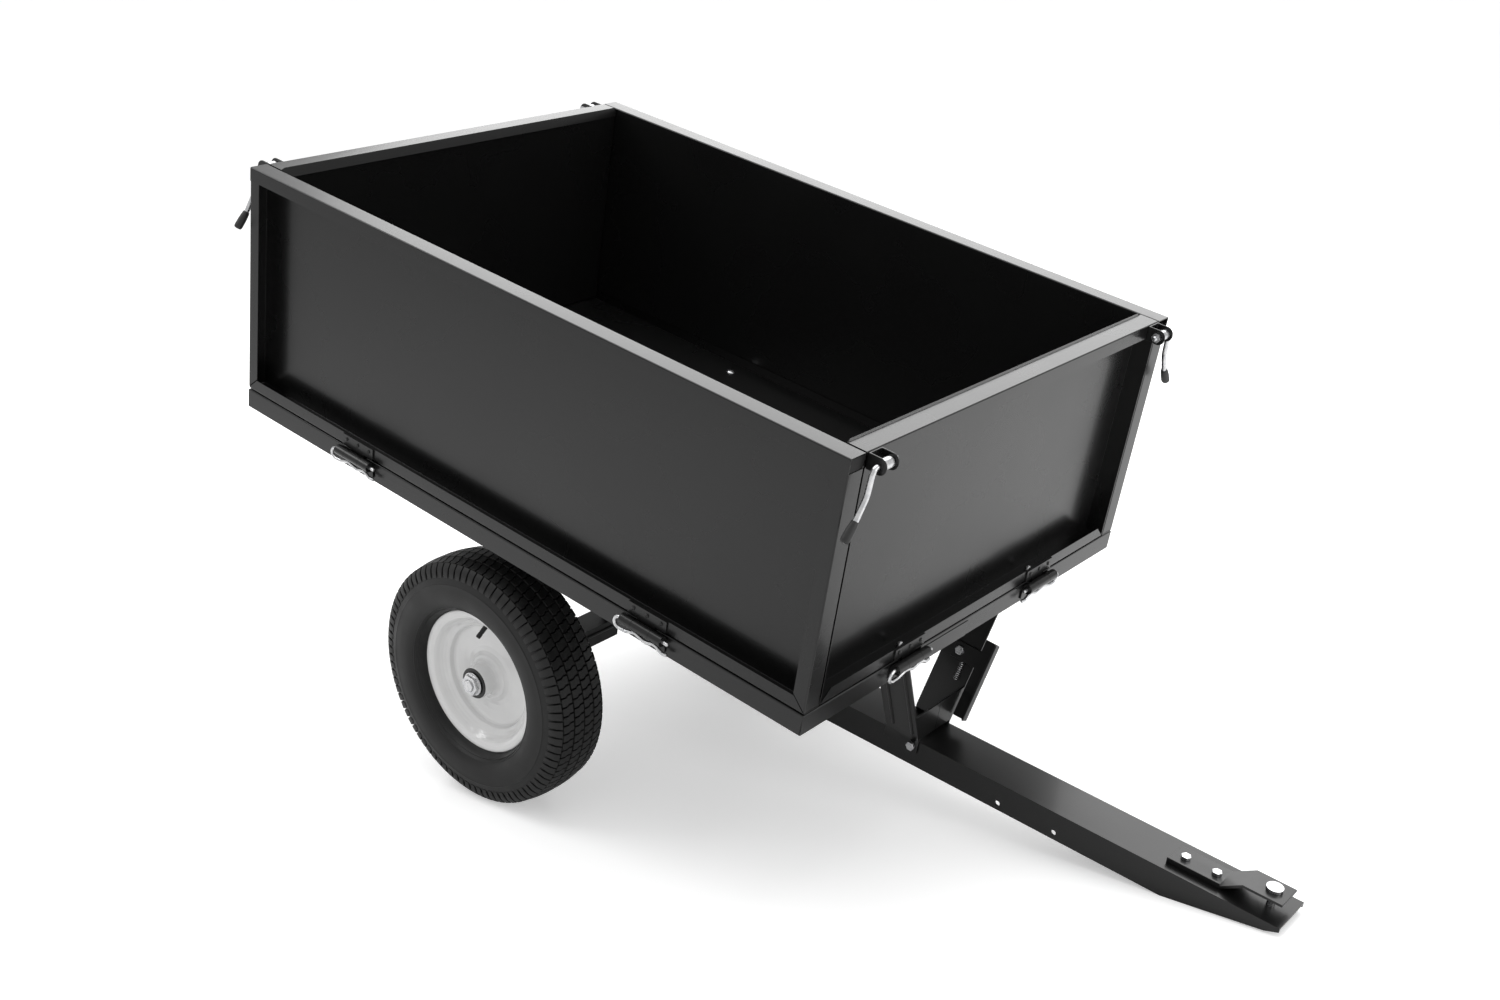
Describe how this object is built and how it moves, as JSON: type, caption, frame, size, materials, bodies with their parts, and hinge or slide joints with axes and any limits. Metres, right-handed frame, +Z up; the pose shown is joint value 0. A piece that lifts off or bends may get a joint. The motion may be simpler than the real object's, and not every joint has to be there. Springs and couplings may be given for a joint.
{
  "type": "tow behind cart",
  "caption": "Two-wheeled garden tow cart: a tipping steel bed with drop-down panels, corner latches, pneumatic turf tyres and a channel tongue with a pin hitch.",
  "frame": {"origin": "on the ground, under the middle of the overall length and width", "axes": "+X forwards along the tongue, +Y to the cart's left, +Z up; the cart stands nose down on its tyres and its tongue"},
  "size_m": [1.6786, 0.8592, 0.9772],
  "materials": {
    "bed_paint": "satin",
    "chassis_paint": "satin",
    "zinc": "satin",
    "grip_rubber": "matte",
    "tyre_rubber": "matte",
    "rim_paint": "gloss",
    "bearing_plastic": "matte"
  },
  "bodies": {
    "chassis": {"tongue": "chassis_paint", "strut_left": "chassis_paint", "strut_right": "chassis_paint", "saddle": "chassis_paint", "stand_bolts": "zinc", "axle": "zinc", "axle_beams": "chassis_paint", "axle_nuts": "zinc", "hitch_plate": "chassis_paint", "hitch_bolts": "zinc", "lever_bolt": "zinc", "lever_spring": "zinc"},
    "hitch_pin": {"hitch_pin": "zinc", "hitch_clip": "zinc"},
    "release_lever": {"release_lever": "chassis_paint"},
    "bed": {"bed_floor": "bed_paint", "floor_channels": "chassis_paint", "cradle": "chassis_paint", "hinge_seats": "chassis_paint", "striker": "zinc", "floor_bolts": "zinc"},
    "front_panel": {"front_panel": "bed_paint", "front_leaves": "chassis_paint", "front_brackets": "chassis_paint"},
    "rear_panel": {"rear_panel": "bed_paint", "rear_leaves": "chassis_paint", "rear_brackets": "chassis_paint"},
    "left_panel": {"left_panel": "bed_paint", "left_leaves": "chassis_paint"},
    "right_panel": {"right_panel": "bed_paint", "right_leaves": "chassis_paint"},
    "wheel_left": {"tyre_left": "tyre_rubber", "rim_left": "rim_paint", "bearings_left": "bearing_plastic", "valve_left": "grip_rubber"},
    "wheel_right": {"tyre_right": "tyre_rubber", "rim_right": "rim_paint", "bearings_right": "bearing_plastic", "valve_right": "grip_rubber"},
    "latch_front_left": {"latch_front_left": "zinc", "grip_front_left": "grip_rubber"},
    "latch_front_right": {"latch_front_right": "zinc", "grip_front_right": "grip_rubber"},
    "latch_rear_left": {"latch_rear_left": "zinc", "grip_rear_left": "grip_rubber"},
    "latch_rear_right": {"latch_rear_right": "zinc", "grip_rear_right": "grip_rubber"},
    "hairpin_front_left": {"hairpin_front_left": "zinc"},
    "hairpin_front_right": {"hairpin_front_right": "zinc"},
    "hairpin_rear_left": {"hairpin_rear_left": "zinc"},
    "hairpin_rear_right": {"hairpin_rear_right": "zinc"},
    "hairpin_left_front": {"hairpin_left_front": "zinc"},
    "hairpin_left_rear": {"hairpin_left_rear": "zinc"},
    "hairpin_right_front": {"hairpin_right_front": "zinc"},
    "hairpin_right_rear": {"hairpin_right_rear": "zinc"}
  },
  "joints": [
    {"name": "bed_dump", "type": "hinge", "parent": "chassis", "child": "bed", "pos_m": [-0.32567, 0, 0.203], "axis": [0, -1, 0], "range_deg": [0, 50]},
    {"name": "wheel_left_spin", "type": "hinge", "parent": "chassis", "child": "wheel_left", "pos_m": [-0.32567, 0.372, 0.203], "axis": [0, 1, 0], "continuous": true},
    {"name": "wheel_right_spin", "type": "hinge", "parent": "chassis", "child": "wheel_right", "pos_m": [-0.32567, -0.372, 0.203], "axis": [0, 1, 0], "continuous": true},
    {"name": "front_panel_drop", "type": "hinge", "parent": "bed", "child": "front_panel", "pos_m": [0.33647, 0, 0.32803], "axis": [0, 1, 0], "range_deg": [0, 110]},
    {"name": "rear_panel_drop", "type": "hinge", "parent": "bed", "child": "rear_panel", "pos_m": [-0.83126, 0, 0.60007], "axis": [0, -1, 0], "range_deg": [0, 175]},
    {"name": "left_panel_drop", "type": "hinge", "parent": "bed", "child": "left_panel", "pos_m": [-0.2474, 0.4205, 0.46405], "axis": [-0.9739, 0, 0.2269], "range_deg": [0, 140]},
    {"name": "right_panel_drop", "type": "hinge", "parent": "bed", "child": "right_panel", "pos_m": [-0.2474, -0.4205, 0.46405], "axis": [0.9739, 0, -0.2269], "range_deg": [0, 140]},
    {"name": "latch_front_left_swing", "type": "hinge", "parent": "front_panel", "child": "latch_front_left", "pos_m": [0.42938, 0.361, 0.68937], "axis": [0, -1, 0], "range_deg": [0, 120]},
    {"name": "latch_front_right_swing", "type": "hinge", "parent": "front_panel", "child": "latch_front_right", "pos_m": [0.42938, -0.361, 0.68937], "axis": [0, -1, 0], "range_deg": [0, 120]},
    {"name": "latch_rear_left_swing", "type": "hinge", "parent": "rear_panel", "child": "latch_rear_left", "pos_m": [-0.75491, 0.361, 0.96527], "axis": [0, 1, 0], "range_deg": [0, 120]},
    {"name": "latch_rear_right_swing", "type": "hinge", "parent": "rear_panel", "child": "latch_rear_right", "pos_m": [-0.75491, -0.361, 0.96527], "axis": [0, 1, 0], "range_deg": [0, 120]},
    {"name": "hairpin_left_front_pull", "type": "slide", "parent": "bed", "child": "hairpin_left_front", "axis": [-0.9739, 0, 0.2269], "range_m": [0, 0.09]},
    {"name": "hairpin_left_rear_pull", "type": "slide", "parent": "bed", "child": "hairpin_left_rear", "axis": [-0.9739, 0, 0.2269], "range_m": [0, 0.09]},
    {"name": "hairpin_right_front_pull", "type": "slide", "parent": "bed", "child": "hairpin_right_front", "axis": [-0.9739, 0, 0.2269], "range_m": [0, 0.09]},
    {"name": "hairpin_right_rear_pull", "type": "slide", "parent": "bed", "child": "hairpin_right_rear", "axis": [-0.9739, 0, 0.2269], "range_m": [0, 0.09]},
    {"name": "hairpin_front_left_pull", "type": "slide", "parent": "bed", "child": "hairpin_front_left", "axis": [0, 1, 0], "range_m": [0, 0.09]},
    {"name": "hairpin_front_right_pull", "type": "slide", "parent": "bed", "child": "hairpin_front_right", "axis": [0, -1, 0], "range_m": [0, 0.09]},
    {"name": "hairpin_rear_left_pull", "type": "slide", "parent": "bed", "child": "hairpin_rear_left", "axis": [0, 1, 0], "range_m": [0, 0.09]},
    {"name": "hairpin_rear_right_pull", "type": "slide", "parent": "bed", "child": "hairpin_rear_right", "axis": [0, -1, 0], "range_m": [0, 0.09]},
    {"name": "release_lever_pull", "type": "hinge", "parent": "chassis", "child": "release_lever", "pos_m": [0.24976, 0.08564, 0.22248], "axis": [-0.0959, 0.9063, -0.4116], "range_deg": [-18, 0], "stiffness_Nm_per_rad": 2, "springref_deg": 5.73},
    {"name": "hitch_pin_lift", "type": "slide", "parent": "chassis", "child": "hitch_pin", "axis": [0.1756, 0, 0.9845], "range_m": [0, 0.008]}
  ]
}
